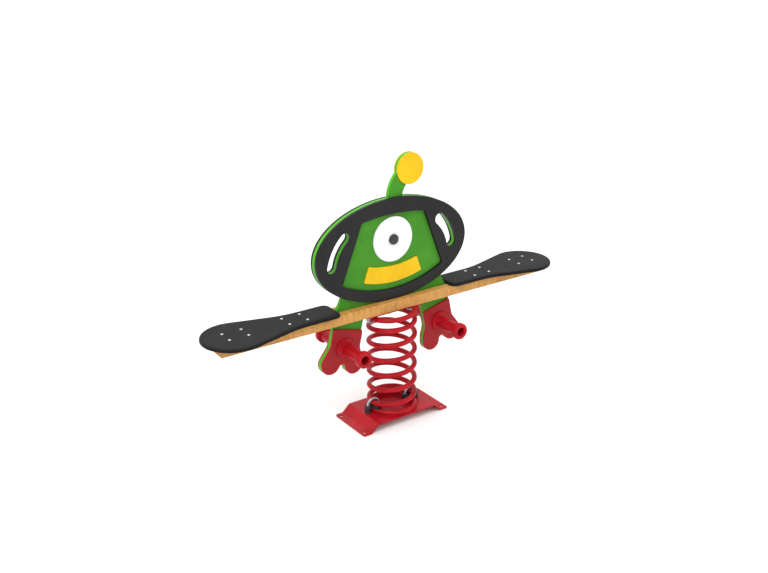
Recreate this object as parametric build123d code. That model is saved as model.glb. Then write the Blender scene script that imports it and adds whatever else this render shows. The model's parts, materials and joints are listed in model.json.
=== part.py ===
from build123d import *
import math
import os

os.makedirs("parts", exist_ok=True)

# Origin: centre of the base plate, on the ground. +X along the plank, -Y is the front, +Z up.

# base plate, one folded steel sheet
base_length = 406
base_width = 208
base_height = 34.6
base_flat_length = 274
base_flange = 34
base_sheet = 5
base_bend = 5
base_corner = 8
anchor_hole = 14
anchor_end_inset = 15
anchor_side_inset = 22

# coil spring and the ring welded under it
wire_diameter = 20
coil_mean_radius = 90
main_pitch = 63.2
main_turns = 5.08
top_pitch = 42
top_turns = 1.18
coil_ramp = 15
coil_lead_in = 14
seat_ring_sink = 1
saddle_rubber = 8
saddle_width = 16
saddle_arc = 44
running_gap = 0.4

# bows that clamp the two end turns
bow_rod = 10
bow_half_width = 25
bow_thread_spare = 3
sleeve_diameter = 28
sleeve_fillet = 3
rod_clearance = 0.5
bow_nut_flats = 17
bow_nut_height = 8

# plate under the plank and its coach screws
top_plate_gap = 5
top_plate_width = 80
top_plate_sheet = 5
top_plate_corner = 12
coach_screw = 8
coach_screw_bite = 28
coach_head_flats = 13
coach_head_height = 5.5
coach_screw_xs = (30, 112)
nut_pocket = 26
nut_pocket_depth = 17

# plank: two timbers with the character panel between them
panel_thickness = 15
beam_length = 1480
beam_width = 88
beam_height = 40
beam_edge = 3
spacer_length = 110
cross_bolt = 10
cross_bolt_head = 24
cross_bolt_head_height = 6
cross_bolt_cover = 12
cross_bolt_drop = 12
cross_bolt_xs = (75, 205, 690)
cross_bolt_head_round = 4.2

# seats
seat_inner_end = 259
seat_end_radius = 120
seat_tip = 790
seat_neck_half_width = 60
seat_flare_degrees = 16
seat_flare_start = 388
seat_thickness = 14.5
seat_inner_corner = 26
seat_top_round = 6
seat_bottom_round = 2
seat_screw = 6
seat_screw_head = 11
seat_screw_head_height = 1.6
seat_screw_head_round = 0.96
seat_screw_bite = 30
seat_screw_y = 30
seat_screw_xs = (390, 464, 627, 701)

# character panel, measured upwards from the top of the plank
visor_half_width = 342
visor_half_height = 199.5
visor_lift = 0.5
visor_thickness = 12
plate_edge = 1.5
window_top = 340
window_shoulder = 327
window_top_half = 143
window_low_half = 232
window_low_corner = 101
window_bottom = 42.5
window_corner = 9
slot_width = 45
slot_upper = (216, 281)
slot_middle = (253, 234)
slot_lower = (273, 180)
neck_half_width = 255
neck_top_half_width = 231
neck_top = 45
panel_web = 18.5

# eye, pupil and mouth
eye_radius = 88
eye_height = 238.5
eye_thickness = 6
pupil_radius = 20
pupil_thickness = 11
pupil_round = 4
pupil_spigot = 10
mouth_thickness = 6
mouth_top_half = 111
mouth_low_half = 133
mouth_shoulder = 149
mouth_top_middle = 133
mouth_low_corner = 89
mouth_low_middle = 67.5
mouth_corner = 4

# antenna
antenna_x = 80.5
antenna_height = 497.5
antenna_radius = 60
antenna_disc_thickness = 5
stem_left = ((-20, 385), (-8, 445), (22, 490))
stem_right = ((44, 385), (53, 423), (76, 450))

# gloves, measured downwards from the underside of the plank
glove_thickness = 8
glove_corner = 7
leg_half_inner = 133
leg_half_outer = 277
glove_top_inner = (145, -54.5)
glove_top_outer = (272, -22.5)
glove_wrist = (287, -95.5)
finger_centre = (291, -164.5)
finger_radius = 39
thumb_centre = (188, -186.5)
thumb_radius = 40
glove_notch_radius = 15
glove_wrist_bend = 40
glove_back_degrees = 35
glove_palm = ((148, -163), (157, -119), (149, -83))
glove_palm_end = (-0.15, 1)

# foot pegs
peg_x = 224
peg_drop = 109
peg_reach = 153.8
peg_flange_diameter = 78
peg_flange_thickness = 8
peg_tube = 44
peg_collar = 65
peg_collar_length = 24
peg_collar_round = 5
peg_bore = 35
peg_web = 20
peg_bolt = 12
peg_bolt_flats = 18
peg_bolt_head_height = 8

# pins that hold the face plates to the panel
pin_diameter = 8
pin_bite = 3
visor_low_pin = (200, 62)
eye_pin_below = 55
eye_pins_above = (50, 30)
mouth_pin = (70, 108)
knob_pin_offset = 30
glove_pins = ((175, -80), (285, -140))

# derived heights and half sizes
panel_half = panel_thickness / 2
wire_radius = wire_diameter / 2
ring_z = base_height - seat_ring_sink + wire_radius
coil_low = ring_z + wire_diameter + saddle_rubber
coil_high = coil_low + main_pitch * main_turns + top_pitch * top_turns
plate_underside = coil_high + wire_radius + running_gap
beam_bottom = plate_underside + top_plate_sheet
beam_top = beam_bottom + beam_height
timber_width = (beam_width - panel_thickness) / 2
timber_y = panel_half + timber_width / 2
peg_z = beam_bottom - peg_drop
cross_bolt_z = beam_top - cross_bolt_drop
glove_face = panel_half + glove_thickness
bow_inner_radius = bow_half_width - bow_rod / 2
bow_leg_xs = (coil_mean_radius - bow_half_width, coil_mean_radius + bow_half_width)
low_bow_centre = coil_low + wire_radius + running_gap - bow_inner_radius

# the wire has to be this far up half a turn on, where it passes over the right-hand bow
wire_slope = math.atan2(main_pitch, 2 * math.pi * coil_mean_radius)
bow_room = bow_rod / 2 + wire_radius + running_gap
coil_rise_start = 180 - bow_room * (1 + 1 / math.cos(wire_slope)) * 360 / main_pitch
half_turn_end = math.ceil(main_turns) * 360
top_plate_length = 2 * (leg_half_inner - top_plate_gap)
visor_z = visor_lift + visor_half_height
sides = {"left": -1, "right": 1}


def save(name, shape):
    export_step(shape, f"parts/{name}.step")


def disc(radius, x, z):
    return Pos(x, z) * Circle(radius)


def front_plate(outline, inner_face, thickness):
    return extrude(Plane.XZ.offset(inner_face) * outline, thickness)


def rear(solid):
    return mirror(solid, about=Plane.XZ)


def mirrored(solid, side):
    return solid if side > 0 else mirror(solid, about=Plane.YZ)


def both_halves(outline):
    return outline + mirror(outline, about=Plane.YZ)


def upright_cylinder(diameter, x, y, low, high):
    return Pos(x, y, low) * extrude(Circle(diameter / 2), high - low)


def cross_cylinder(diameter, x, z, front, back):
    return extrude(Plane((x, back, z), z_dir=(0, -1, 0)) * Circle(diameter / 2), back - front)


def hexagon_outline(flats):
    return RegularPolygon(flats / 2, 6, major_radius=False)


def hexagon(flats, x, y, low, high):
    return Pos(x, y, low) * extrude(hexagon_outline(flats), high - low)


def cross_hexagon(flats, x, z, near, far):
    facing = 1 if far > near else -1
    return extrude(Plane((x, near, z), z_dir=(0, facing, 0)) * hexagon_outline(flats), abs(far - near))


def corner(sketch, points, radius):
    picked = [v for v in sketch.vertices() for p in points if math.dist((v.X, v.Y), p) < 0.5]
    return fillet(picked, radius)


def front_rounded(solid, radius):
    return fillet(solid.faces().sort_by(Axis.Y)[0].outer_wire().edges(), radius)


# ---------------------------------------------------------------- base


def base_plate():
    half = base_length / 2
    flat = base_flat_length / 2
    foot = half - base_flange
    slope = math.atan2(base_height - base_sheet, foot - flat)
    inset = base_sheet * math.tan(slope / 2)
    under = base_height - base_sheet
    right_top = [(flat, base_height), (foot, base_sheet), (half, base_sheet)]
    right_low = [(half, 0), (foot - inset, 0), (flat - inset, under)]
    right = right_top + right_low
    left = [(-x, z) for x, z in reversed(right)]
    profile = make_face(Polyline(*right, *left, close=True))
    outer = base_bend + base_sheet
    bends = [(outer, right_top[0]), (base_bend, right_top[1])]
    bends += [(outer, right_low[1]), (base_bend, right_low[2])]
    for radius, (x, z) in bends:
        profile = corner(profile, [(x, z), (-x, z)], radius)
    plate = extrude(Plane.XZ * profile, base_width / 2, both=True)
    plate = fillet(plate.edges().filter_by(Axis.Z), base_corner)
    for sx in (-1, 1):
        for sy in (-1, 1):
            x = sx * (half - anchor_end_inset)
            y = sy * (base_width / 2 - anchor_side_inset)
            plate -= upright_cylinder(anchor_hole, x, y, 0, base_sheet)
        for leg in bow_leg_xs:
            plate -= upright_cylinder(bow_rod + rod_clearance, sx * leg, 0, 0, base_height)
    return plate


def ring(z, tube):
    return Pos(0, 0, z) * Torus(coil_mean_radius, tube)


def seat_ring():
    size = 4 * coil_mean_radius
    below = Pos(0, 0, base_height) * Box(size, size, size, align=(Align.CENTER, Align.CENTER, Align.MAX))
    return ring(ring_z, wire_radius) - below


def low_saddle():
    quarter = wire_radius / 2
    low = ring_z + quarter
    high = coil_low - quarter
    band = Pos(coil_mean_radius, (low + high) / 2) * Rectangle(saddle_width, high - low)
    block = Rot(0, 0, -saddle_arc / 2) * revolve(Plane.XZ * band, Axis.Z, saddle_arc)
    return block - ring(ring_z, wire_radius) - ring(coil_low, wire_radius + running_gap)


def bow(centre_z, leg_end):
    low, high = sorted((centre_z, leg_end))
    keep = Align.MIN if centre_z > leg_end else Align.MAX
    size = 4 * bow_half_width
    crest = Pos(coil_mean_radius, 0, centre_z)
    half = crest * Box(size, size, size, align=(Align.CENTER, Align.CENTER, keep))
    rod = crest * Rot(90, 0, 0) * Torus(bow_half_width, bow_rod / 2) & half
    for leg in bow_leg_xs:
        rod += upright_cylinder(bow_rod, leg, 0, low, high)
    return rod


def sleeve(x):
    tube = upright_cylinder(sleeve_diameter, x, 0, base_height, low_bow_centre)
    tube = fillet(tube.faces().sort_by(Axis.Z)[-1].edges(), sleeve_fillet)
    return tube - upright_cylinder(bow_rod, x, 0, base_height, low_bow_centre)


def bow_nuts(low):
    nuts = []
    for sx in (-1, 1):
        for leg in bow_leg_xs:
            nut = hexagon(bow_nut_flats, sx * leg, 0, low, low + bow_nut_height)
            nuts.append(nut - upright_cylinder(bow_rod, sx * leg, 0, low, low + bow_nut_height))
    return Compound(children=nuts)


# ---------------------------------------------------------------- spring


def eased_rise(turned, start):
    """Degrees risen since the start of a pitch, with a short curve in place of the kink."""
    past = turned - start
    if past <= -coil_ramp:
        return 0
    if past >= coil_ramp:
        return past
    return (past + coil_ramp) ** 2 / (4 * coil_ramp)


def coil_height(turned):
    """Height of the wire's centre. The degrees turned count from the left clamp of the bottom turn."""
    top_start = coil_rise_start + main_turns * 360
    flat_start = top_start + top_turns * 360
    steep = main_pitch / 360
    gentle = top_pitch / 360
    rise = steep * eased_rise(turned, coil_rise_start)
    rise -= (steep - gentle) * eased_rise(turned, top_start)
    rise -= gentle * eased_rise(turned, flat_start)
    return coil_low + rise


def coil_spring():
    step = 30
    first = -180 - coil_lead_in
    last = half_turn_end + 180 + coil_lead_in
    count = round((last - first) / step)
    points = []
    for i in range(count + 1):
        turned = first + (last - first) * i / count
        angle = math.radians(turned + 180)
        x = coil_mean_radius * math.cos(angle)
        y = coil_mean_radius * math.sin(angle)
        points.append((x, y, coil_height(turned)))
    path = Spline(*points)
    section = Plane(path @ 0, z_dir=path % 0) * Circle(wire_radius)
    return sweep(section, path=path, is_frenet=True)


def rod_spread():
    """Degrees of the coil that a bow's rod covers to each side of its middle."""
    return math.degrees(bow_rod / 2 / coil_mean_radius)


def high_bow_centre(turned):
    """Centre of the arch that hangs under the wire, clear of it across the rod's own width."""
    return coil_height(turned - rod_spread()) - wire_radius - running_gap + bow_inner_radius


def low_bow_arch(turned):
    """Centre of the arch that stands over the wire, clear of it across the rod's own width."""
    return coil_height(turned + rod_spread()) + wire_radius + running_gap - bow_inner_radius


# ---------------------------------------------------------------- plank


def coach_points():
    return [(sx * x, sy * timber_y) for x in coach_screw_xs for sx in (-1, 1) for sy in (-1, 1)]


def top_plate():
    plate = RectangleRounded(top_plate_length, top_plate_width, top_plate_corner)
    plate = Pos(0, 0, plate_underside) * extrude(plate, top_plate_sheet)
    for x, y in coach_points():
        plate -= upright_cylinder(coach_screw, x, y, plate_underside, beam_bottom)
    for sx in (-1, 1):
        for leg in bow_leg_xs:
            plate -= upright_cylinder(bow_rod + rod_clearance, sx * leg, 0, plate_underside, beam_bottom)
    return plate


def coach_screws():
    screws = []
    for x, y in coach_points():
        head = hexagon(coach_head_flats, x, y, plate_underside - coach_head_height, plate_underside)
        shank = upright_cylinder(coach_screw, x, y, plate_underside, beam_bottom + coach_screw_bite)
        screws.append(head + shank)
    return Compound(children=screws)


def cross_bolts():
    bolts = []
    for x in cross_bolt_xs:
        for sx in (-1, 1):
            back = beam_width / 2
            head = cross_cylinder(cross_bolt_head, sx * x, cross_bolt_z, back, back + cross_bolt_head_height)
            head = fillet(head.faces().sort_by(Axis.Y)[-1].edges(), cross_bolt_head_round)
            shank = cross_cylinder(cross_bolt, sx * x, cross_bolt_z, cross_bolt_cover - back, back)
            bolts.append(head + shank)
    return Compound(children=bolts)


def cross_bolt_holes(front, back):
    xs = [sx * x for x in cross_bolt_xs for sx in (-1, 1)]
    return [cross_cylinder(cross_bolt, x, cross_bolt_z, front, back) for x in xs]


def timber(front):
    centre = (beam_bottom + beam_top) / 2
    side = -1 if front else 1
    wood = Pos(0, side * timber_y, centre) * Box(beam_length, timber_width, beam_height)
    wood = fillet(wood.edges().filter_by(Axis.X), beam_edge)
    for hole in cross_bolt_holes(cross_bolt_cover - beam_width / 2, beam_width / 2):
        wood -= hole
    for x, y in coach_points():
        wood -= upright_cylinder(coach_screw, x, y, beam_bottom, beam_bottom + coach_screw_bite)
    for sx in (-1, 1):
        for leg in bow_leg_xs:
            wood -= upright_cylinder(nut_pocket, sx * leg, 0, beam_bottom, beam_bottom + nut_pocket_depth)
    for x, y in seat_screw_points():
        wood -= upright_cylinder(seat_screw, x, y, beam_top + seat_thickness - seat_screw_bite, beam_top)
    return wood


def spacer(side):
    x = side * (beam_length - spacer_length) / 2
    block = Pos(x, 0, (beam_bottom + beam_top) / 2) * Box(spacer_length, panel_thickness, beam_height)
    for hole in cross_bolt_holes(-panel_half, panel_half):
        block -= hole
    return block


# ---------------------------------------------------------------- seats


def seat_screw_points():
    return [(sx * x, sy * seat_screw_y) for x in seat_screw_xs for sx in (-1, 1) for sy in (-1, 1)]


def seat_outline():
    flare = math.radians(seat_flare_degrees)
    end_x = seat_tip - seat_end_radius
    touch = (end_x - seat_end_radius * math.sin(flare), seat_end_radius * math.cos(flare))
    knee_x = touch[0] - (touch[1] - seat_neck_half_width) / math.tan(flare)
    run = knee_x - seat_flare_start
    leave = (knee_x + run * math.cos(flare), seat_neck_half_width + run * math.sin(flare))
    neck = (seat_flare_start, seat_neck_half_width)
    inner = (seat_inner_end, seat_neck_half_width)
    edges = [
        Line((seat_inner_end, 0), inner),
        Line(inner, neck),
        TangentArc(neck, leave, tangent=(1, 0)),
        Line(leave, touch),
        CenterArc((end_x, 0), seat_end_radius, 0, 90 + seat_flare_degrees),
        Line((seat_tip, 0), (seat_inner_end, 0)),
    ]
    half = make_face(edges)
    outline = half + mirror(half, about=Plane.XZ)
    return corner(outline, [inner, (inner[0], -inner[1])], seat_inner_corner)


def seat():
    board = Pos(0, 0, beam_top) * extrude(seat_outline(), seat_thickness)
    board = fillet(board.faces().sort_by(Axis.Z)[-1].edges(), seat_top_round)
    board = fillet(board.faces().sort_by(Axis.Z)[0].edges(), seat_bottom_round)
    top = beam_top + seat_thickness
    for x, y in seat_screw_points():
        if x > 0:
            board -= upright_cylinder(seat_screw, x, y, beam_top, top)
    return board


def seat_screws(side):
    top = beam_top + seat_thickness
    screws = []
    for x, y in seat_screw_points():
        if x * side > 0:
            head = upright_cylinder(seat_screw_head, x, y, top, top + seat_screw_head_height)
            head = fillet(head.faces().sort_by(Axis.Z)[-1].edges(), seat_screw_head_round)
            screws.append(head + upright_cylinder(seat_screw, x, y, top - seat_screw_bite, top))
    return Compound(children=screws)


# ---------------------------------------------------------------- character panel


def raised(outline):
    return Pos(0, beam_top) * outline


def hung(outline):
    return Pos(0, beam_bottom) * outline


def slot():
    arc = ThreePointArc(slot_upper, slot_middle, slot_lower)
    return both_halves(SlotArc(arc, slot_width))


def window():
    shoulder = (window_top_half, window_shoulder)
    low = (window_low_half, window_low_corner)
    left_shoulder = (-shoulder[0], shoulder[1])
    left_low = (-low[0], low[1])
    edges = [
        ThreePointArc(left_shoulder, (0, window_top), shoulder),
        Line(shoulder, low),
        ThreePointArc(low, (0, window_bottom), left_low),
        Line(left_low, left_shoulder),
    ]
    return corner(make_face(edges), [shoulder, low, left_shoulder, left_low], window_corner)


def visor_ellipse():
    return Pos(0, visor_z) * Ellipse(visor_half_width, visor_half_height)


def on_circle(centre, radius, degrees):
    angle = math.radians(degrees)
    return (centre[0] + radius * math.cos(angle), centre[1] + radius * math.sin(angle))


def notch_centre():
    """Centre of the round notch that touches the finger and the thumb from below."""
    far = math.dist(finger_centre, thumb_centre)
    to_finger = finger_radius + glove_notch_radius
    to_thumb = thumb_radius + glove_notch_radius
    along = (far**2 + to_finger**2 - to_thumb**2) / (2 * far)
    down = math.sqrt(to_finger**2 - along**2)
    ux = (thumb_centre[0] - finger_centre[0]) / far
    uz = (thumb_centre[1] - finger_centre[1]) / far
    return (finger_centre[0] + ux * along + uz * down, finger_centre[1] + uz * along + ux * down)


def between(start, end, share):
    return tuple(a + (b - a) * share for a, b in zip(start, end))


def glove():
    fx, fz = finger_centre
    tx, tz = thumb_centre
    notch = notch_centre()
    finger_out = on_circle(finger_centre, finger_radius, glove_back_degrees)
    finger_in = between(finger_centre, notch, finger_radius / (finger_radius + glove_notch_radius))
    thumb_in = between(thumb_centre, notch, thumb_radius / (thumb_radius + glove_notch_radius))
    thumb_out = (tx - thumb_radius, tz)
    back = math.radians(glove_back_degrees)
    edges = [
        Line(glove_top_inner, glove_top_outer),
        Line(glove_top_outer, glove_wrist),
        TangentArc(finger_out, glove_wrist, tangent=(-math.sin(back), math.cos(back))),
        ThreePointArc(finger_out, (fx, fz - finger_radius), finger_in),
        ThreePointArc(finger_in, (notch[0], notch[1] + glove_notch_radius), thumb_in),
        ThreePointArc(thumb_in, (tx, tz - thumb_radius), thumb_out),
        Spline(thumb_out, *glove_palm, glove_top_inner, tangents=((0, 1), glove_palm_end)),
    ]
    outline = corner(make_face(edges), [glove_top_inner, glove_top_outer], glove_corner)
    return corner(outline, [glove_wrist], glove_wrist_bend)


def leg():
    link = [glove_top_inner, (leg_half_inner, 0), (leg_half_outer, 0), glove_top_outer, glove_wrist]
    return glove() + make_face(Polyline(*link, close=True))


def web():
    outer = [(leg_half_outer, 0), (leg_half_outer, beam_height), (neck_half_width, beam_height)]
    inner = [(0, beam_height), (0, panel_web), (leg_half_inner, panel_web), (leg_half_inner, 0)]
    return make_face(Polyline(*outer, *inner, close=True))


def neck():
    top = (neck_top_half_width, neck_top)
    inside = [(neck_top_half_width, visor_z), (0, visor_z)]
    return make_face(Polyline((0, 0), (neck_half_width, 0), top, *inside, close=True))


def antenna():
    left = ThreePointArc(*stem_left)
    right = ThreePointArc(*stem_right)
    foot = Line(stem_right[0], stem_left[0])
    crown = Line(stem_left[-1], stem_right[-1])
    return make_face([left, crown, right, foot]) + disc(antenna_radius, antenna_x, antenna_height)


def pin_points():
    top = visor_z + visor_half_height
    rim = (window_top + top) / 2
    ends = (visor_half_width + slot_lower[0] + slot_width / 2) / 2
    sill = window_bottom / 2
    visor = [(0, rim), (0, sill), (ends, visor_z), (-ends, visor_z)]
    aside, above = eye_pins_above
    paired = [visor_low_pin, (aside, eye_height + above), mouth_pin]
    single = [(0, eye_height - eye_pin_below)]
    single += [(antenna_x, antenna_height + sz * knob_pin_offset) for sz in (-1, 1)]
    single += [(sx * x, z) for x, z in paired for sx in (-1, 1)]
    raised_points = [(x, z + beam_top) for x, z in visor + single]
    hung_points = [(sx * x, z + beam_bottom) for x, z in glove_pins for sx in (-1, 1)]
    return raised_points + hung_points


def pins():
    bite = panel_half + pin_bite
    return Compound(children=[cross_cylinder(pin_diameter, x, z, -bite, bite) for x, z in pin_points()])


def drilled(plate, front, back):
    for x, z in pin_points():
        plate -= cross_cylinder(pin_diameter, x, z, front, back)
    return plate


def pin_drilled(plate):
    return drilled(plate, -panel_half - pin_bite, -panel_half)


def head_panel():
    upper = visor_ellipse() + both_halves(neck()) + antenna() - slot()
    lower = both_halves(leg() + web())
    board = extrude(Plane.XZ * (raised(upper) + hung(lower)), panel_half, both=True)
    board = drilled(board, -panel_half, panel_half)
    for hole in cross_bolt_holes(-panel_half, panel_half):
        board -= hole
    for sx in (-1, 1):
        board -= cross_cylinder(peg_bolt, sx * peg_x, peg_z, -panel_half, panel_half)
    return board - cross_cylinder(pupil_spigot, 0, beam_top + eye_height, -panel_half, panel_half)


def visor():
    plate = front_plate(raised(visor_ellipse() - window() - slot()), panel_half, visor_thickness)
    return pin_drilled(front_rounded(plate, plate_edge))


def eye():
    plate = front_plate(raised(disc(eye_radius, 0, eye_height)), panel_half, eye_thickness)
    plate = front_rounded(plate, plate_edge)
    hole = cross_cylinder(pupil_spigot, 0, beam_top + eye_height, -panel_half - eye_thickness, -panel_half)
    return pin_drilled(plate) - hole


def pupil():
    z = beam_top + eye_height
    face = panel_half + eye_thickness
    button = cross_cylinder(2 * pupil_radius, 0, z, -face - pupil_thickness, -face)
    button = fillet(button.faces().sort_by(Axis.Y)[0].edges(), pupil_round)
    return button + cross_cylinder(pupil_spigot, 0, z, -face, -face + eye_thickness + panel_half - 1)


def mouth():
    shoulder = (mouth_top_half, mouth_shoulder)
    low = (mouth_low_half, mouth_low_corner)
    left_shoulder = (-shoulder[0], shoulder[1])
    left_low = (-low[0], low[1])
    edges = [
        ThreePointArc(left_shoulder, (0, mouth_top_middle), shoulder),
        Line(shoulder, low),
        ThreePointArc(low, (0, mouth_low_middle), left_low),
        Line(left_low, left_shoulder),
    ]
    outline = corner(make_face(edges), [shoulder, low, left_shoulder, left_low], mouth_corner)
    return pin_drilled(front_rounded(front_plate(raised(outline), panel_half, mouth_thickness), plate_edge))


def antenna_disc():
    outline = raised(disc(antenna_radius, antenna_x, antenna_height))
    return pin_drilled(front_rounded(front_plate(outline, panel_half, antenna_disc_thickness), plate_edge))


def glove_plate():
    plate = front_rounded(front_plate(hung(glove()), panel_half, glove_thickness), plate_edge)
    return pin_drilled(plate) - cross_cylinder(peg_bolt, peg_x, peg_z, -glove_face, -panel_half)


# ---------------------------------------------------------------- foot pegs


def foot_peg():
    end = -peg_reach
    flange_face = -glove_face - peg_flange_thickness
    flange = cross_cylinder(peg_flange_diameter, peg_x, peg_z, flange_face, -glove_face)
    flange = fillet(flange.faces().sort_by(Axis.Y)[0].edges(), peg_flange_thickness / 4)
    tube = cross_cylinder(peg_tube, peg_x, peg_z, end, flange_face)
    collar = cross_cylinder(peg_collar, peg_x, peg_z, end, end + peg_collar_length)
    collar = fillet(collar.edges().filter_by(GeomType.CIRCLE), peg_collar_round)
    bore_floor = -glove_face - peg_web
    peg = flange + tube + collar
    peg -= cross_cylinder(peg_bore, peg_x, peg_z, end, bore_floor)
    return peg - cross_cylinder(peg_bolt, peg_x, peg_z, bore_floor, -glove_face)


def peg_bolt_solid():
    seat_face = glove_face + peg_web
    head = cross_hexagon(peg_bolt_flats, peg_x, peg_z, -seat_face, -seat_face - peg_bolt_head_height)
    shank_end = seat_face + peg_bolt_head_height + bow_thread_spare
    return head + cross_cylinder(peg_bolt, peg_x, peg_z, -seat_face, shank_end)


def peg_nut():
    seat_face = glove_face + peg_web
    end = seat_face + peg_bolt_head_height
    nut = cross_hexagon(peg_bolt_flats, peg_x, peg_z, seat_face, end)
    return nut - cross_cylinder(peg_bolt, peg_x, peg_z, seat_face, end)


# ---------------------------------------------------------------- write every node

save("base_plate", base_plate())
save("spring_seat_ring", seat_ring())
save("clamp_nuts_lower", bow_nuts(base_height - base_sheet - bow_nut_height))
save("coil_spring", coil_spring())
save("spring_top_plate", top_plate())
save("top_plate_screws", coach_screws())
save("clamp_nuts_upper", bow_nuts(beam_bottom))
save("timber_front", timber(True))
save("timber_rear", timber(False))
save("cross_bolts", cross_bolts())
save("head_panel", head_panel())
save("panel_pins", pins())

low_leg_end = base_height - base_sheet - bow_nut_height - bow_thread_spare
high_leg_end = beam_bottom + bow_nut_height + bow_thread_spare
for side_name, side in sides.items():
    save(f"saddle_pad_{side_name}", mirrored(low_saddle(), side))
    held = -180 if side > 0 else 0
    save(f"clamp_bow_lower_{side_name}", mirrored(bow(low_bow_arch(held), low_leg_end), side))
    hooked = half_turn_end + (180 if side > 0 else 0)
    save(f"clamp_bow_upper_{side_name}", mirrored(bow(high_bow_centre(hooked), high_leg_end), side))
    save(f"clamp_sleeve_{side_name}_inner", mirrored(sleeve(bow_leg_xs[0]), side))
    save(f"clamp_sleeve_{side_name}_outer", mirrored(sleeve(bow_leg_xs[1]), side))
    save(f"timber_spacer_{side_name}", spacer(side))
    save(f"seat_{side_name}", mirrored(seat(), side))
    save(f"seat_screws_{side_name}", seat_screws(side))
    save(f"glove_front_{side_name}", mirrored(glove_plate(), side))
    save(f"glove_rear_{side_name}", mirrored(rear(glove_plate()), side))
    save(f"foot_peg_front_{side_name}", mirrored(foot_peg(), side))
    save(f"foot_peg_rear_{side_name}", mirrored(rear(foot_peg()), side))
    save(f"peg_bolt_{side_name}", mirrored(peg_bolt_solid(), side))
    save(f"peg_nut_{side_name}", mirrored(peg_nut(), side))

for name, piece in (
    ("visor", visor()),
    ("eye", eye()),
    ("pupil", pupil()),
    ("mouth", mouth()),
    ("antenna_disc", antenna_disc()),
):
    save(f"{name}_front", piece)
    save(f"{name}_rear", rear(piece))
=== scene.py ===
import json
import math

import bmesh
import bpy
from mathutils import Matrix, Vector


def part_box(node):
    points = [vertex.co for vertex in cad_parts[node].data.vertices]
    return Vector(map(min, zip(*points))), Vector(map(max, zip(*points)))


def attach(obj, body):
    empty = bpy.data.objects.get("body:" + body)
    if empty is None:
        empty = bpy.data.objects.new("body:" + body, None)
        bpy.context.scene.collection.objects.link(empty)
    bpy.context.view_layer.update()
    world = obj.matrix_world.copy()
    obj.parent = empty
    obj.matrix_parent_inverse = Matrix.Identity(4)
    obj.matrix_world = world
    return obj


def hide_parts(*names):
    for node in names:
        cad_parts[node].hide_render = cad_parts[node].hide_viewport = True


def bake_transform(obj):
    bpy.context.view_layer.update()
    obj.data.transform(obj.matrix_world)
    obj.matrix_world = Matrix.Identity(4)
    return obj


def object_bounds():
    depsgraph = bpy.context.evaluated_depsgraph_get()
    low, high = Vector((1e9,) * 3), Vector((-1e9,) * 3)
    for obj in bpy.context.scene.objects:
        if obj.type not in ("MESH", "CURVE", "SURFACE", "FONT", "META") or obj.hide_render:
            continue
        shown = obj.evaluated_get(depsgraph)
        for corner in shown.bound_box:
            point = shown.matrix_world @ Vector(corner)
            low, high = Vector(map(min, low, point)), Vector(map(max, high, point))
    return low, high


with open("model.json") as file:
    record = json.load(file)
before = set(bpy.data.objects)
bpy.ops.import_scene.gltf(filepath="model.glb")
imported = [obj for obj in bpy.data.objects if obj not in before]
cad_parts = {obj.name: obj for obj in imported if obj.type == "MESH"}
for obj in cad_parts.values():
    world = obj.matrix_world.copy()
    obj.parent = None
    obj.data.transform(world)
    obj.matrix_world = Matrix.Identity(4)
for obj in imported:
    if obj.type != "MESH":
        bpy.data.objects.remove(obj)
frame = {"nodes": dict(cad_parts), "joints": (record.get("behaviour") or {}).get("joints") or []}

scene = bpy.context.scene
nodes = frame["nodes"]
cadLow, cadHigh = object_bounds()
pivot = Vector(frame["joints"][0]["pos_m"])
millimetre = 0.001
boxes = {name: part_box(name) for name in nodes}  # lowest and highest corner of each part


class Wire:  # a shader socket that takes Python arithmetic
    def __init__(self, graph, socket):
        self.graph = graph
        self.socket = socket

    def math(self, operation, *others, clamp=False):
        settings = {"operation": operation, "use_clamp": clamp}
        return self.graph.add("ShaderNodeMath", settings, dict(enumerate([self, *others])))

    def __add__(self, other):
        return self.math("ADD", other)

    def __sub__(self, other):
        return self.math("SUBTRACT", other)

    def __mul__(self, other):
        return self.math("MULTIPLY", other)

    def __rsub__(self, other):
        return self.graph.add("ShaderNodeMath", {"operation": "SUBTRACT"}, {0: other, 1: self})

    __radd__ = __add__
    __rmul__ = __mul__

    def power(self, exponent):
        return self.math("POWER", exponent)

    def size(self):
        return self.math("ABSOLUTE")

    def sine(self):
        return self.math("SINE")

    def between(self, low, high):  # 0 at low, 1 at high, eased
        settings = {"interpolation_type": "SMOOTHSTEP"}
        return self.graph.add("ShaderNodeMapRange", settings, {0: self, 1: low, 2: high})


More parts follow.
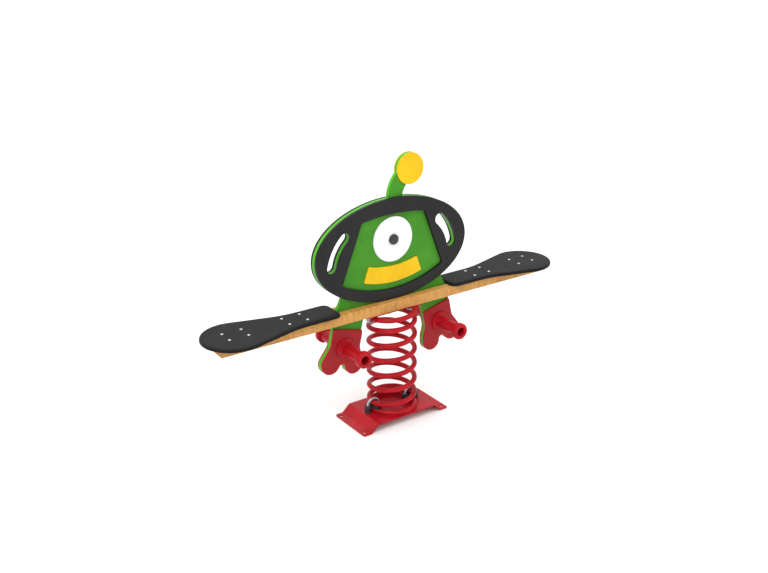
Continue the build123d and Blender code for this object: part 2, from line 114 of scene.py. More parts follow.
class Graph:  # one material being drawn
    def __init__(self, name):
        self.material = bpy.data.materials.new(name)
        self.material.use_nodes = True
        self.tree = self.material.node_tree
        self.tree.nodes.clear()

    def add(self, kind, settings=None, sockets=None, output=0):
        node = self.tree.nodes.new(kind)
        for key, value in (settings or {}).items():
            setattr(node, key, value)
        for key, value in (sockets or {}).items():
            if isinstance(value, Wire):
                self.tree.links.new(value.socket, node.inputs[key])
            else:
                node.inputs[key].default_value = value
        return Wire(self, node.outputs[output])

    def place(self):
        return self.add("ShaderNodeTexCoord", output=3)

    def split(self, vector, axis):
        return self.add("ShaderNodeSeparateXYZ", None, {0: vector}, output=axis)

    def facing(self, axis):  # the surface's own direction in the part, so it turns with the part
        return self.split(self.add("ShaderNodeTexCoord", output=1), axis)

    def stretched(self, vector, scale):
        return self.add("ShaderNodeVectorMath", {"operation": "MULTIPLY"}, {0: vector, 1: scale})

    def noise(self, vector, scale, detail=3, roughness=0.5):
        sockets = {"Vector": vector, "Scale": scale, "Detail": detail, "Roughness": roughness}
        return self.add("ShaderNodeTexNoise", None, sockets)

    def cells(self, vector, scale):
        return self.add("ShaderNodeTexVoronoi", None, {"Vector": vector, "Scale": scale})

    def mix(self, share, first, second):
        first, second = [(*c, 1) if isinstance(c, tuple) else c for c in (first, second)]
        settings = {"data_type": "RGBA"}
        return self.add("ShaderNodeMix", settings, {0: share, 6: first, 7: second}, output=2)

    def bump(self, height, depth, strength=1, under=None):
        sockets = {"Height": height, "Distance": depth, "Strength": strength}
        if under is not None:
            sockets["Normal"] = under
        return self.add("ShaderNodeBump", None, sockets)

    def softEdge(self, radius):  # rounds the light on a hard edge
        return self.add("ShaderNodeBevel", {"samples": 4}, {"Radius": radius})

    def edgeMask(self, rounded):  # 1 on an edge, 0 on a flat
        flat = self.add("ShaderNodeNewGeometry", output=1)
        settings = {"operation": "DOT_PRODUCT"}
        along = self.add("ShaderNodeVectorMath", settings, {0: rounded, 1: flat}, output=1)
        return (1 - along).between(0.005, 0.12)

    def finish(self, **sockets):
        named = {key.replace("_", " "): value for key, value in sockets.items()}
        surface = self.add("ShaderNodeBsdfPrincipled", None, named)
        out = self.tree.nodes.new("ShaderNodeOutputMaterial")
        self.tree.links.new(surface.socket, out.inputs["Surface"])
        return self.material


powder = {
    "colour": (0.47, 0.008, 0.017),
    "deep": (0.36, 0.005, 0.011),
    "worn": (0.52, 0.04, 0.045),
    "peel": 3.2,
}


def powderCoat():
    g = Graph("redPowderCoat")
    spot = g.place()
    peel = g.noise(spot, 1000 / powder["peel"], detail=2, roughness=0.4)
    cloud = g.noise(spot, 14, detail=4)
    dust = g.noise(spot, 90, detail=5, roughness=0.7)
    rounded = g.softEdge(1.6 * millimetre)
    edge = g.edgeMask(rounded)
    colour = g.mix(cloud.between(0.3, 0.75), powder["deep"], powder["colour"])
    colour = g.mix(edge * dust.between(0.42, 0.62) * 0.5, colour, powder["worn"])
    rough = 0.24 + 0.14 * dust + 0.08 * cloud + 0.1 * edge
    normal = g.bump(peel, 0.22 * millimetre, 0.55, rounded)
    shine = {"Specular_IOR_Level": 0.12, "Coat_Weight": 0.05, "Coat_Roughness": 0.1}
    return g.finish(Base_Color=colour, Roughness=rough, Normal=normal, **shine)


galvanised = {"bright": (0.66, 0.67, 0.68), "dull": (0.40, 0.41, 0.42), "spangle": 6}


def galvanisedSteel():
    g = Graph("galvanisedSteel")
    spot = g.place()
    spangle = g.cells(spot, 1000 / galvanised["spangle"])
    grime = g.noise(spot, 160, detail=5, roughness=0.65)
    colour = g.mix(spangle.between(0.1, 0.7), galvanised["bright"], galvanised["dull"])
    rough = 0.30 + 0.22 * grime
    normal = g.bump(grime, 0.1 * millimetre, 0.6)
    return g.finish(Base_Color=colour, Roughness=rough, Metallic=0.9, Normal=normal)


screwMetal = {"bright": (0.78, 0.78, 0.78), "dark": (0.50, 0.50, 0.51)}


def screwSteel():
    g = Graph("screwSteel")
    brushed = g.noise(g.stretched(g.place(), (900, 900, 60)), 1, detail=3)
    colour = g.mix(brushed, screwMetal["dark"], screwMetal["bright"])
    normal = g.bump(brushed, 0.04 * millimetre)
    return g.finish(Base_Color=colour, Roughness=0.2 + 0.25 * brushed, Metallic=1.0, Normal=normal)


rubber = {"colour": (0.016, 0.016, 0.017), "bloom": (0.045, 0.044, 0.043)}


def blackRubber():
    g = Graph("blackRubber")
    spot = g.place()
    grain = g.noise(spot, 1400, detail=2)
    bloom = g.noise(spot, 60, detail=5, roughness=0.65)
    colour = g.mix(bloom.between(0.45, 0.8), rubber["colour"], rubber["bloom"])
    normal = g.bump(grain, 0.15 * millimetre, 0.7)
    return g.finish(Base_Color=colour, Roughness=0.55 + 0.2 * bloom, Normal=normal)


board = {
    "pale": (0.66, 0.335, 0.085),
    "dark": (0.33, 0.135, 0.030),
    "pore": (0.15, 0.06, 0.016),
    "ring": 9,
    "pith": (-0.09, 0.36),
}


def curlyWood():
    g = Graph("curlyWood")
    spot = g.place()
    pithY, pithZ = board["pith"]
    wander = g.noise(g.stretched(spot, (1.6, 9, 9)), 1, detail=3)
    fromPith = ((g.split(spot, 1) - pithY).power(2) + (g.split(spot, 2) - pithZ).power(2)).math("SQRT")
    rings = ((fromPith + 0.03 * wander) * (2000 * math.pi / board["ring"])).sine() * 0.5 + 0.5
    fibre = g.noise(g.stretched(spot, (12, 700, 700)), 1, detail=4, roughness=0.6)
    curl = g.noise(g.stretched(spot, (85, 8, 16)), 1, detail=4, roughness=0.6).between(0.36, 0.66)
    patches = g.noise(g.stretched(spot, (7, 12, 30)), 1, detail=3).between(0.42, 0.66)
    pores = g.noise(g.stretched(spot, (55, 1300, 1300)), 1, detail=2).between(0.63, 0.74)
    endGrain = g.facing(0).size().between(0.6, 0.95)
    dark = 0.16 * rings.power(1.6) + 0.45 * (fibre - 0.38) + 0.30 * endGrain
    dark = dark + 0.50 * curl * (0.45 + 0.55 * patches)
    colour = g.mix(dark.math("MULTIPLY", 1, clamp=True), board["pale"], board["dark"])
    colour = g.mix(0.45 * pores, colour, board["pore"])
    rough = 0.38 + 0.16 * fibre + 0.2 * endGrain
    rounded = g.softEdge(1.2 * millimetre)
    normal = g.bump(0.5 * fibre + 0.3 * rings - 0.6 * pores, 0.22 * millimetre, 0.6, rounded)
    shine = {"Specular_IOR_Level": 0.25, "Coat_Weight": 0.06, "Coat_Roughness": 0.3}
    return g.finish(Base_Color=colour, Roughness=rough, Normal=normal, **shine)


sheet = {"stipple": 1.5, "shine": 0.42}


def cutSheet(name, face, edge, clouding=0.82):  # stippled faces, and edges with fine cutter lines and a colour with painted light and shade
    g = Graph(name)
    spot = g.place()
    cut = 1 - g.facing(1).size().between(0.35, 0.8)
    pebble = g.cells(spot, 1000 / sheet["stipple"])
    fine = g.noise(spot, 1500, detail=2)
    cloud = g.noise(spot, 9, detail=4)
    scuff = g.noise(g.stretched(spot, (30, 30, 190)), 1, detail=4, roughness=0.7).between(0.6, 0.78)
    cutter = g.noise(g.stretched(spot, (420, 12, 420)), 1, detail=2)
    darker = tuple(c * clouding for c in face)
    colour = g.mix(cloud.between(0.3, 0.7), darker, face)
    # the edges get their own colour: painted light on the green and red edges, painted shade on the
    # dark, white and yellow edges
    colour = g.mix(cut * 0.9, colour, edge)
    colour = g.mix((1 - cut) * scuff * 0.10, colour, tuple(min(1, c + 0.08) for c in face))
    rough = sheet["shine"] + 0.10 * fine + 0.05 * scuff - 0.06 * cut
    height = (1 - cut) * (0.8 * pebble + 0.3 * fine) + cut * 0.5 * cutter
    normal = g.bump(height, 0.16 * millimetre, 0.5, g.softEdge(1.1 * millimetre))
    return g.finish(Base_Color=colour, Roughness=rough, Specular_IOR_Level=0.16, Normal=normal)


seatToneAndSideShade = {
    "colour": (0.013, 0.013, 0.0134),
    # side: the seat's colour on its side walls, darkened as painted shade
    "side": (0.008, 0.008, 0.0083),
    "worn": (0.021, 0.021, 0.0215),
}


def seatRubber():
    g = Graph("seatRubber")
    spot = g.place()
    grain = g.cells(spot, 620)
    fine = g.noise(spot, 1600, detail=2)
    cloud = g.noise(spot, 7, detail=5, roughness=0.6)
    # side walls get the darker colour: painted shade, standing in for the light from above falling less
    # on them
    side = 1 - g.facing(2).between(0.2, 0.85)
    colour = g.mix(cloud.between(0.45, 0.7) * 0.5, seatToneAndSideShade["colour"], seatToneAndSideShade["worn"])
    colour = g.mix(side * 0.9, colour, seatToneAndSideShade["side"])
    rough = 0.50 + 0.12 * fine - 0.08 * cloud
    normal = g.bump(0.7 * grain + 0.4 * fine, 0.2 * millimetre, 0.55)
    return g.finish(Base_Color=colour, Roughness=rough, Specular_IOR_Level=0.1, Normal=normal)


def glossPlastic(name, colour, swirl):
    g = Graph(name)
    spot = g.place()
    cloud = g.noise(spot, 70, detail=4)
    fine = g.noise(spot, 1100, detail=2)
    tone = g.mix(cloud, colour, swirl)
    normal = g.bump(fine, 0.06 * millimetre, 0.6)
    return g.finish(Base_Color=tone, Roughness=0.22 + 0.12 * cloud, Normal=normal)


# per sheet: face colour, then edge colour with painted light and shade (lighter on green and red, darker
# on dark, white and yellow), then clouding
sheetColours = {
    "green_sheet": ((0.058, 0.275, 0.017), (0.085, 0.43, 0.014)),
    "dark_sheet": ((0.019, 0.019, 0.0195), (0.012, 0.012, 0.0125)),
    "white_sheet": ((0.88, 0.88, 0.87), (0.74, 0.74, 0.73), 0.95),
    "yellow_sheet": ((0.86, 0.53, 0.008), (0.80, 0.44, 0.007)),
    "red_sheet": ((0.36, 0.015, 0.019), (0.42, 0.014, 0.017)),
}
finishes = {slot: cutSheet(slot.replace("_s", "S"), *pair) for slot, pair in sheetColours.items()}
finishes["red_paint"] = powderCoat()
finishes["galvanised_steel"] = galvanisedSteel()
finishes["screw_steel"] = screwSteel()
finishes["black_rubber"] = blackRubber()
finishes["wood"] = curlyWood()
finishes["seat_rubber"] = seatRubber()
finishes["black_plastic"] = glossPlastic("blackPlastic", (0.012, 0.012, 0.013), (0.024, 0.024, 0.025))
finishes["pin_plastic"] = glossPlastic("pinPlastic", (0.42, 0.42, 0.42), (0.55, 0.55, 0.54))
print("materials:", len(finishes))


def dressNodes():
    for node in nodes.values():
        slot = node.data.materials[0].name.split(".")[0]
        node.data.materials[0] = finishes[slot]


def makePiece(bm, name, slot, body, stands, smooth=32):  # a bmesh becomes a piece that rides on its body
    bmesh.ops.recalc_face_normals(bm, faces=bm.faces)
    mesh = bpy.data.meshes.new(name)
    bm.to_mesh(mesh)
    bm.free()
    mesh.polygons.foreach_set("use_smooth", [True] * len(mesh.polygons))
    mesh.set_sharp_from_angle(angle=math.radians(smooth))
    mesh.materials.append(finishes[slot])
    piece = bpy.data.objects.new(name, mesh)
    scene.collection.objects.link(piece)
    if body:
        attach(piece, body)
    if stands:
        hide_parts(*stands)
    return piece


def middle(node):
    low, high = boxes[node]
    return (low + high) / 2


def outward(node, face):  # which way is out, and how deep the node starts
    low, high = boxes[node]
    return (-1, high.y) if face == "front" else (1, low.y)


def axesAround(along):
    along = Vector(along).normalized()
    side = along.orthogonal().normalized()
    return along, side, along.cross(side)


def makeRing(bm, centre, side, other, reaches):
    ring = []
    for i, reach in enumerate(reaches):
        angle = 2 * math.pi * i / len(reaches)
        ring.append(bm.verts.new(centre + (side * math.cos(angle) + other * math.sin(angle)) * reach))
    return ring


def joinRings(bm, first, second):  # either one may be a single point
    if len(second) == 1:
        first, second = second, first
    for i in range(len(second)):
        j = (i + 1) % len(second)
        if len(first) == 1:
            bm.faces.new((first[0], second[i], second[j]))
        else:
            bm.faces.new((first[i], first[j], second[j], second[i]))


def skinRings(bm, rings):
    for one, two in zip(rings, rings[1:]):
        joinRings(bm, one, two)


def capRings(bm, rings):
    for ring in (rings[0], rings[-1]):
        bm.faces.new(ring)


def hexReach(angle, apothem):
    return apothem / math.cos((angle + math.pi / 6) % (math.pi / 3) - math.pi / 6)


def spin(bm, origin, along, outline, sides=48):  # distance, radius and, on a hexagon, apothem
    along, side, other = axesAround(along)
    rings = []
    for distance, radius, *apothem in outline:
        reaches = [radius] * (sides if radius else 1)
        if apothem:
            reaches = [min(radius, hexReach(2 * math.pi * i / sides, apothem[0])) for i in range(sides)]
        rings.append(makeRing(bm, Vector(origin) + along * distance, side, other, reaches))
    skinRings(bm, rings)


def softened(points, steps=4):  # each point's third number rounds its corner
    result = [points[0][:2]]
    for before, here, after in zip(points, points[1:], points[2:]):
        at = Vector(here[:2])
        if not here[2]:
            result.append(tuple(at))
            continue
        start = at + (Vector(before[:2]) - at).normalized() * here[2]
        end = at + (Vector(after[:2]) - at).normalized() * here[2]
        for i in range(steps + 1):
            t = i / steps
            result.append(tuple(start * (1 - t) ** 2 + at * 2 * t * (1 - t) + end * t * t))
    return result + [points[-1][:2]]


def domed(tall, radius, flat, angles):  # outline of a rounded head
    return [(tall * math.sin(a), radius * (flat + (1 - flat) * math.cos(a))) for a in angles]


def socketed(top, facts):  # outline of a hexagon socket in a head
    mouth, apothem, floor = facts["socketMouth"], facts["socket"], top - facts["socketDeep"]
    return [(top, mouth, apothem), (floor, mouth, apothem), (floor, 0)]


bead = {"ripple": 0.10, "wander": 0.05, "wanders": 7, "stepsPerRipple": 6, "sides": 10}


def weldBead(bm, centre, along, ringRadius, beadRadius, ripples):  # with the ripples of the passes
    along, side, other = axesAround(along)
    steps = ripples * bead["stepsPerRipple"]
    rings = []
    for i in range(steps):
        angle = 2 * math.pi * i / steps
        away = side * math.cos(angle) + other * math.sin(angle)
        swell = bead["ripple"] * math.sin(ripples * angle)
        swell += bead["wander"] * math.sin(bead["wanders"] * angle)
        thick = beadRadius * (1 + swell)
        rings.append(makeRing(bm, centre + away * ringRadius, away, along, [thick] * bead["sides"]))
    skinRings(bm, rings + [rings[0]])


springCoil = {
    "wireRadius": 0.010,
    "turnsBelow": 5.08,
    "turnsAbove": 1.18,
    "pitchRatio": 0.6646,
    "riseStart": 4,
    "ramp": 15,
    "leadIn": 14,
    "stepDegrees": 5,
    "sides": 28,
    "endChamfer": 0.0012,
}


def easedRise(turned, start):
    past = turned - start
    ramp = springCoil["ramp"]
    if past <= -ramp:
        return 0
    return past if past >= ramp else (past + ramp) ** 2 / (4 * ramp)


def coilPoint(turned):
    low, high = boxes["coil_spring"]
    wire, ratio = springCoil["wireRadius"], springCoil["pitchRatio"]
    bottom = low.z + wire
    rise = high.z - wire - bottom
    steep = rise / (springCoil["turnsBelow"] + ratio * springCoil["turnsAbove"]) / 360
    gentle = steep * ratio
    topStart = springCoil["riseStart"] + springCoil["turnsBelow"] * 360
    flatStart = topStart + springCoil["turnsAbove"] * 360
    height = steep * easedRise(turned, springCoil["riseStart"])
    height -= (steep - gentle) * easedRise(turned, topStart)
    height -= gentle * easedRise(turned, flatStart)
    radius = (high.y - low.y) / 2 - wire
    angle = math.radians(turned + 180)
    return Vector((radius * math.cos(angle), radius * math.sin(angle), bottom + height))


def coilHalf(name, first, last):
    wire, sides = springCoil["wireRadius"], springCoil["sides"]
    steps = round((last - first) / springCoil["stepDegrees"])
    bm = bmesh.new()
    rings = []
    for i in range(steps + 1):
        turned = first + (last - first) * i / steps
        centre = coilPoint(turned)
        along = (coilPoint(turned + 0.5) - coilPoint(turned - 0.5)).normalized()
        away = Vector((centre.x, centre.y, 0)).normalized()
        upward = along.cross(away).normalized()
        rings.append(makeRing(bm, centre, upward.cross(along), upward, [wire] * sides))
    skinRings(bm, rings)
    capRings(bm, rings)
    ends = [f for f in bm.faces if len(f.verts) == sides]
    bmesh.ops.inset_individual(bm, faces=ends, thickness=springCoil["endChamfer"], depth=0)
    piece = makePiece(bm, name, "red_paint", None, ["coil_spring"], smooth=40)
    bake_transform(piece)


def buildSpring():  # two halves that meet at the height of the joints
    first = -180 - springCoil["leadIn"]
    last = math.ceil(springCoil["turnsBelow"]) * 360 + 180 + springCoil["leadIn"]
    split = next(t for t in range(0, last) if coilPoint(t).z >= pivot.z)
    coilHalf("springLower", first, split)
    coilHalf("springUpper", split, last)


seatShape = {
    "neckHalf": 0.060,
    "flareDegrees": 16,
    "flareStart": 0.388,
    "corner": 0.026,
    "innerEndSteps": (0.0, 0.2, 0.4),
    "edgeRound": 0.006,
    "underRound": 0.002,
    "crown": 0.0009,
    "crownSteps": ((0.005, 0.4), (0.010, 0.12), (0.016, 0)),
}


def arcPoints(centre, radius, start, end, count):
    points = []
    for i in range(count + 1):
        angle = math.radians(start + (end - start) * i / count)
        points.append((centre[0] + radius * math.cos(angle), centre[1] + radius * math.sin(angle)))
    return points


def seatOutline():
    low, high = boxes["seat_right"]
    endRadius = high.y
    neck, corner = seatShape["neckHalf"], seatShape["corner"]
    flareStart, degrees = seatShape["flareStart"], seatShape["flareDegrees"]
    flare = math.radians(degrees)
    endX = high.x - endRadius
    touch = (endX - endRadius * math.sin(flare), endRadius * math.cos(flare))
    knee = touch[0] - (touch[1] - neck) / math.tan(flare)
    bend = (knee - flareStart) / math.tan(flare / 2)
    half = [(low.x, y * neck) for y in seatShape["innerEndSteps"]]
    half += arcPoints((low.x + corner, neck - corner), corner, 180, 90, 12)
    half += arcPoints((flareStart, neck + bend), bend, -90, -90 + degrees, 14)
    half += arcPoints((endX, 0), endRadius, 90 + degrees, 0, 48)
    return half + [(x, -y) for x, y in reversed(half[1:-1])]


def seatEdge(tall):  # (distance in from the outline, height) from the underside to the top
    under, edge, crown = seatShape["underRound"], seatShape["edgeRound"], seatShape["crown"]
    turns = (0, 0.5, 1.0, math.pi / 2)
    shape = [(under * (1 - math.sin(a)), under * (1 - math.cos(a))) for a in turns]
    for i in range(8):
        a = math.pi / 2 * i / 7
        shape.append((edge * (1 - math.cos(a)), tall - crown - edge + edge * math.sin(a)))
    return shape + [(edge + inset, tall - crown * fall) for inset, fall in seatShape["crownSteps"]]


def buildSeat(side):
    low, high = boxes[f"seat_{side}"]
    sign = 1 if side == "right" else -1
    outline = [Vector((x, y)) for x, y in seatOutline()]
    inward = []
    for i in range(len(outline)):
        run = outline[(i + 1) % len(outline)] - outline[i - 1]
        inward.append(Vector((run.y, -run.x)).normalized())
    bm = bmesh.new()
    rings = []
    for inset, height in seatEdge(high.z - low.z):
        places = [p + n * inset for p, n in zip(outline, inward)]
        rings.append([bm.verts.new((sign * p.x, p.y, low.z + height)) for p in places])
    skinRings(bm, rings)
    capRings(bm, rings)
    makePiece(bm, f"seatBoard.{side}", "seat_rubber", "rocker", [f"seat_{side}"], smooth=30)


seatScrew = {
    "headRadius": 0.0055,
    "headFlat": 0.55,
    "shank": 0.003,
    "point": 0.003,
    "rim": 0.0029,
    "socketMouth": 0.003,
    "socket": 0.0019,
    "socketDeep": 0.0011,
    "rows": (0.390, 0.464, 0.627, 0.701),
}


def buildSeatScrews(side):
    low, high = boxes[f"seat_screws_{side}"]
    boardTop = boxes[f"seat_{side}"][1].z
    sign = 1 if side == "right" else -1
    head, shank = seatScrew["headRadius"], seatScrew["shank"]
    dome = high.z - boardTop
    tip = low.z - boardTop
    rings = [(tip, 0), (tip + seatScrew["point"], shank), (0, shank), (0, head)]
    rings += domed(dome, head, seatScrew["headFlat"], (0.35, 0.75, 1.15, math.pi / 2))
    rings += [(dome, seatScrew["rim"])] + socketed(dome, seatScrew)
    bm = bmesh.new()
    rowY = high.y - head
    for x in seatScrew["rows"]:
        for y in (-rowY, rowY):
            spin(bm, (sign * x, y, boardTop), (0, 0, 1), rings, sides=36)
    makePiece(bm, f"seatScrews.{side}", "screw_steel", "rocker", [f"seat_screws_{side}"])


peg = {
    "flangeThick": 0.008,
    "flangeBackRound": 0.001,
    "flangeRound": 0.002,
    "tubeRadius": 0.022,
    "collarRadius": 0.0325,
    "collarLong": 0.024,
    "collarRound": 0.005,
    "endRound": 0.006,
    "boreRadius": 0.0175,
    "boreRound": 0.0025,
    "webThick": 0.020,
    "webRound": 0.001,
    "boltRadius": 0.006,
    "weld": 0.0032,
    "weldOut": 0.0008,
    "weldRipples": 34,
}


def pegOutline(long, flange):
    thick, tube, collar = peg["flangeThick"], peg["tubeRadius"], peg["collarRadius"]
    bolt, bore, web = peg["boltRadius"], peg["boreRadius"], peg["webThick"]
    shoulder = long - peg["collarLong"]
    points = [(0, bolt, 0), (0, flange, peg["flangeBackRound"]), (thick, flange, peg["flangeRound"])]
    points += [(thick, tube, 0), (shoulder, tube, 0), (shoulder, collar, peg["collarRound"])]
    points += [(long, collar, peg["endRound"]), (long, bore, peg["boreRound"])]
    return points + [(web, bore, peg["webRound"]), (web, bolt, 0), (0, bolt, 0)]


def buildPeg(face, side):
    node = f"foot_peg_{face}_{side}"
    low, high = boxes[node]
    centre = middle(node)
    out, root = outward(node, face)
    long = high.y - low.y
    origin = Vector((centre.x, root, centre.z))
    bm = bmesh.new()
    spin(bm, origin, (0, out, 0), softened(pegOutline(long, (high.z - low.z) / 2)), sides=64)
    bmesh.ops.remove_doubles(bm, verts=bm.verts, dist=1e-6)
    makePiece(bm, f"footPeg.{face}.{side}", "red_paint", "rocker", [node])
    welds = bmesh.new()
    weldRadius = peg["tubeRadius"] + peg["weldOut"]
    for place in (peg["flangeThick"], long - peg["collarLong"]):
        centre = origin + Vector((0, out * place, 0))
        weldBead(welds, centre, (0, 1, 0), weldRadius, peg["weld"], peg["weldRipples"])
    makePiece(welds, f"pegWeld.{face}.{side}", "red_paint", "rocker", [], smooth=80)


hexagon = {"corner": 1.1547, "chamfer": 0.12, "endFace": 0.96, "startFace": 0.97, "plainFace": 1.12}


def hexRings(height, apothem, bothEnds=True, hole=0):  # a head or nut, its corners cut by a cone
    corner = apothem * hexagon["corner"]
    chamfer = apothem * hexagon["chamfer"]
    startFace = apothem * hexagon["startFace" if bothEnds else "plainFace"]
    rings = [(0, hole), (0, startFace, apothem), (chamfer if bothEnds else 0, corner, apothem)]
    rings += [(height - chamfer, corner, apothem), (height, apothem * hexagon["endFace"], apothem)]
    return rings + [(height, hole)]


def makeNut(bm, origin, along, height, apothem, hole):
    rings = hexRings(height, apothem, hole=hole)
    spin(bm, origin, along, rings + [rings[0]])


fastener = {
    "bowApothem": 0.0085,
    "bowRod": 0.005,
    "coachApothem": 0.0065,
    "coachShank": 0.004,
    "coachXs": (0.030, 0.112),
    "boltApothem": 0.009,
    "boltShank": 0.006,
    "threadPitch": 0.0015,
    "threadDeep": 0.10,
    "stepsPerTurn": 6,
    "sides": 24,
}


def threadedRod(bm, origin, along, start, end, radius):  # the radius follows a helix
    along, side, other = axesAround(along)
    pitch, deep, sides = fastener["threadPitch"], fastener["threadDeep"], fastener["sides"]
    steps = round((end - start) / pitch * fastener["stepsPerTurn"])
    rings = []
    for i in range(steps + 1):
        distance = start + (end - start) * i / steps
        phases = [(distance / pitch - j / sides) % 1 for j in range(sides)]
        reaches = [radius - deep * radius * abs(2 * phase - 1) for phase in phases]
        rings.append(makeRing(bm, Vector(origin) + along * distance, side, other, reaches))
    skinRings(bm, rings)
    capRings(bm, rings)


def buildBowNuts(level, body):
    node = f"clamp_nuts_{level}"
    low, high = boxes[node]
    rod = fastener["bowRod"]
    bowLow, bowHigh = boxes["clamp_bow_lower_right"]
    bm = bmesh.new()
    for sign in (-1, 1):
        for x in (bowLow.x + rod, bowHigh.x - rod):
            makeNut(bm, (sign * x, 0, low.z), (0, 0, 1), high.z - low.z, fastener["bowApothem"], rod)
    bmesh.ops.remove_doubles(bm, verts=bm.verts, dist=1e-6)
    makePiece(bm, f"clampNuts.{level}", "galvanised_steel", body, [node])


def buildCoachScrews():
    low, high = boxes["top_plate_screws"]
    plateLow = boxes["spring_top_plate"][0].z
    rowY = middle("timber_rear").y
    head = hexRings(plateLow - low.z, fastener["coachApothem"], bothEnds=False)
    bm = bmesh.new()
    for x in fastener["coachXs"]:
        for sx in (-1, 1):
            for sy in (-1, 1):
                origin = (sx * x, sy * rowY, plateLow)
                spin(bm, origin, (0, 0, -1), head)
                threadedRod(bm, origin, (0, 0, 1), 0, high.z - plateLow, fastener["coachShank"])
    makePiece(bm, "coachScrews", "galvanised_steel", "rocker", ["top_plate_screws"])


def buildPegBolt(side):
    low, high = boxes[f"peg_bolt_{side}"]
    nutLow, nutHigh = boxes[f"peg_nut_{side}"]
    centre = middle(f"peg_bolt_{side}")
    apothem, shank = fastener["boltApothem"], fastener["boltShank"]
    tall = nutHigh.y - nutLow.y
    origin = (centre.x, low.y, centre.z)
    bm = bmesh.new()
    spin(bm, origin, (0, 1, 0), hexRings(tall, apothem))
    threadedRod(bm, origin, (0, 1, 0), tall, high.y - low.y, shank)
    makePiece(bm, f"pegBolt.{side}", "galvanised_steel", "rocker", [f"peg_bolt_{side}"])
    bm = bmesh.new()
    makeNut(bm, (centre.x, nutLow.y, centre.z), (0, 1, 0), tall, apothem, shank)
    bmesh.ops.remove_doubles(bm, verts=bm.verts, dist=1e-6)
    makePiece(bm, f"pegNut.{side}", "galvanised_steel", "rocker", [f"peg_nut_{side}"])


sleeve = {
    "lip": 0.0014,
    "lipStep": 0.0008,
    "lipRound": 0.0006,
    "footHigh": 0.004,
    "footRound": 0.0008,
    "headHigh": 0.006,
    "round": 0.003,
    "rodRadius": 0.005,
}


def buildSleeve(side, place):
    node = f"clamp_sleeve_{side}_{place}"
    low, high = boxes[node]
    centre = middle(node)
    wide = (high.x - low.x) / 2
    tall = high.z - low.z
    narrow, rod = wide - sleeve["lip"], sleeve["rodRadius"]
    foot, head, step = sleeve["footHigh"], tall - sleeve["headHigh"], sleeve["lipStep"]
    bend = sleeve["lipRound"]
    points = [(0, rod, 0), (0, wide, sleeve["footRound"]), (foot, wide, bend)]
    points += [(foot + step, narrow, bend), (head - step, narrow, bend)]
    points += [(head, wide, bend), (tall, wide, sleeve["round"])]
    points += [(tall, rod, 0), (0, rod, 0)]
    bm = bmesh.new()
    spin(bm, (centre.x, 0, low.z), (0, 0, 1), softened(points))
    bmesh.ops.remove_doubles(bm, verts=bm.verts, dist=1e-6)
    makePiece(bm, f"clampSleeve.{side}.{place}", "black_rubber", "base", [node])


ringWeld = {"apart": 0.0062, "lift": 0.0006, "radius": 0.0026, "ripples": 90}


def buildRingWeld():
    ringRadius = boxes["spring_seat_ring"][1].x - springCoil["wireRadius"]
    centre = Vector((0, 0, boxes["base_plate"][1].z + ringWeld["lift"]))
    bm = bmesh.new()
    for apart in (-ringWeld["apart"], ringWeld["apart"]):
        weldBead(bm, centre, (0, 0, 1), ringRadius + apart, ringWeld["radius"], ringWeld["ripples"])
    makePiece(bm, "ringWeld", "red_paint", "base", [], smooth=80)


pupil = {
    "spigot": 0.005,
    "spigotRound": 0.0005,
    "backRound": 0.0004,
    "edgeRound": 0.005,
    "dome": 0.0012,
    "domeShare": 0.35,
    "domeRound": 0.004,
}


def buildPupil(face):
    node = f"pupil_{face}"
    low, high = boxes[node]
    centre = middle(node)
    out, root = outward(node, face)
    eyeLow, eyeHigh = boxes[f"eye_{face}"]
    behind = abs((eyeLow.y if out < 0 else eyeHigh.y) - root)
    button, spigot = (high.z - low.z) / 2, pupil["spigot"]
    tip = high.y - low.y
    points = [(0, 0, 0), (0, spigot, pupil["spigotRound"]), (behind, spigot, 0)]
    points += [(behind, button, pupil["backRound"]), (tip - pupil["dome"], button, pupil["edgeRound"])]
    points += [(tip, button * pupil["domeShare"], pupil["domeRound"]), (tip, 0, 0)]
    bm = bmesh.new()
    spin(bm, (centre.x, root, centre.z), (0, out, 0), softened(points, steps=6), sides=64)
    makePiece(bm, f"pupilButton.{face}", "black_plastic", "rocker", [node], smooth=50)


crossBolt = {
    "shank": 0.005,
    "headRadius": 0.012,
    "headFlat": 0.5,
    "headHigh": 0.006,
    "socketMouth": 0.006,
    "socket": 0.004,
    "socketDeep": 0.003,
    "xs": (0.075, 0.205, 0.690),
}


def buildCrossBolts():
    low, high = boxes["cross_bolts"]
    head, tall, shank = crossBolt["headRadius"], crossBolt["headHigh"], crossBolt["shank"]
    back = high.y - tall
    z = high.z - head
    rings = [(low.y - back, 0), (low.y - back, shank), (0, shank), (0, head)]
    rings += domed(tall, head, crossBolt["headFlat"], (0.2, 0.5, 0.8, 1.1, math.pi / 2))
    rings += socketed(tall, crossBolt)
    bm = bmesh.new()
    for x in crossBolt["xs"]:
        for sign in (-1, 1):
            spin(bm, (sign * x, back, z), (0, 1, 0), rings)
    makePiece(bm, "crossBolts", "galvanised_steel", "rocker", ["cross_bolts"])


studio = {
    "floorSize": 160,
    "floorGap": 0.0005,
    "floor": (0.93, 0.93, 0.93),
    "sky": (1.0, 1.0, 1.0),
    "skyStrength": 0.37,
    "ceiling": {"at": (0, 0, 14), "size": 90, "watts": 24800},
    "key": {"at": (-2.4, -1.2, 3.2), "size": 1.4, "watts": 36},
    "fill": {"at": (2.8, -2.8, 2.2), "size": 2.6, "watts": 5},
}


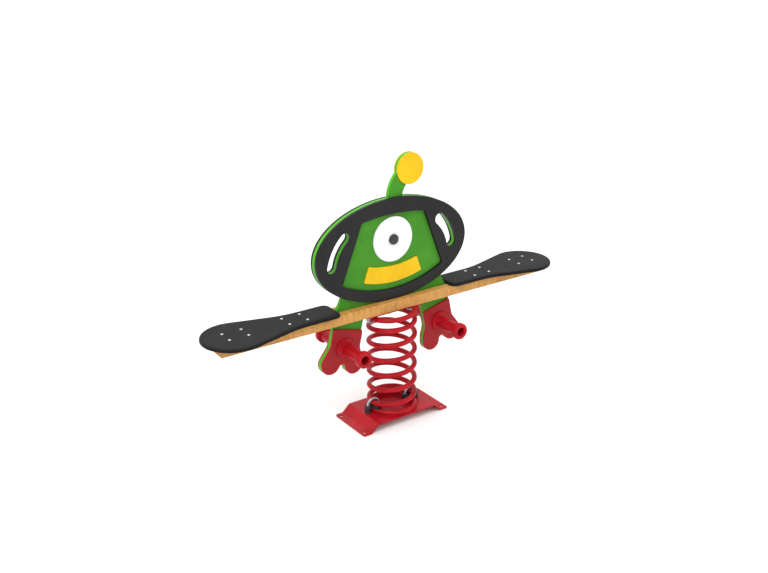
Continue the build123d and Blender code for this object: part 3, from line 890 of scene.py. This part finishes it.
def buildFloor():
    g = Graph("paleFloor")
    tone = g.noise(g.place(), 1.5, detail=3)
    colour = g.mix(tone, studio["floor"], tuple(c * 1.02 for c in studio["floor"]))
    finish = g.finish(Base_Color=colour, Roughness=0.75, Specular_IOR_Level=0.1)
    size = studio["floorSize"] / 2
    z = cadLow.z - studio["floorGap"]
    bm = bmesh.new()
    corners = [(-size, -size, z), (size, -size, z), (size, size, z), (-size, size, z)]
    bm.faces.new([bm.verts.new(corner) for corner in corners])
    mesh = bpy.data.meshes.new("floor")
    bm.to_mesh(mesh)
    bm.free()
    mesh.materials.append(finish)
    floor = bpy.data.objects.new("floor", mesh)
    scene.collection.objects.link(floor)


def buildLights():
    world = bpy.data.worlds.new("paleRoom")
    world.use_nodes = True
    background = world.node_tree.nodes["Background"]
    background.inputs["Color"].default_value = (*studio["sky"], 1)
    background.inputs["Strength"].default_value = studio["skyStrength"]
    scene.world = world
    aim = (cadLow + cadHigh) / 2
    for name in ("ceiling", "key", "fill"):
        facts = studio[name]
        light = bpy.data.lights.new(name, "AREA")
        light.size = facts["size"]
        light.energy = facts["watts"]
        lamp = bpy.data.objects.new(name, light)
        lamp.location = facts["at"]
        lamp.rotation_euler = (aim - lamp.location).to_track_quat("-Z", "Y").to_euler()
        scene.collection.objects.link(lamp)
    scene.view_settings.view_transform = "Standard"


viewpoint = {
    "azimuth": -34.61,
    "elevation": 21.19,
    "roll": -0.39,
    "distance": 3.6831,
    "lens": 45.33,
    "aside": -0.03435,
    "above": 0.0217,
}


def buildCamera():
    azimuth, elevation = math.radians(viewpoint["azimuth"]), math.radians(viewpoint["elevation"])
    level = math.cos(elevation)
    back = Vector((math.sin(azimuth) * level, -math.cos(azimuth) * level, math.sin(elevation)))
    aim = (cadLow + cadHigh) / 2 + Vector((viewpoint["aside"], 0, viewpoint["above"]))
    data = bpy.data.cameras.new("camera")
    data.sensor_width = 36
    data.lens = viewpoint["lens"]
    camera = bpy.data.objects.new("camera", data)
    camera.location = aim + back * viewpoint["distance"]
    turn = (-back).to_track_quat("-Z", "Y").to_matrix()
    roll = math.radians(viewpoint["roll"])
    tilt = turn.copy()
    tilt.col[0] = turn.col[0] * math.cos(roll) + turn.col[1] * math.sin(roll)
    tilt.col[1] = turn.col[1] * math.cos(roll) - turn.col[0] * math.sin(roll)
    camera.rotation_euler = tilt.to_euler()
    scene.collection.objects.link(camera)
    scene.camera = camera


buildCamera()
buildLights()
buildFloor()
print("camera, lights and floor")
dressNodes()
print("finishes on the frame")
buildSpring()
print("spring")
for side in ("left", "right"):
    buildSeat(side)
    buildSeatScrews(side)
    buildPegBolt(side)
    for face in ("front", "rear"):
        buildPeg(face, side)
    for place in ("inner", "outer"):
        buildSleeve(side, place)
print("seats, pegs and sleeves")
buildBowNuts("lower", "base")
buildBowNuts("upper", "rocker")
buildCoachScrews()
buildCrossBolts()
buildRingWeld()
for face in ("front", "rear"):
    buildPupil(face)
print("fasteners, welds and pupils")
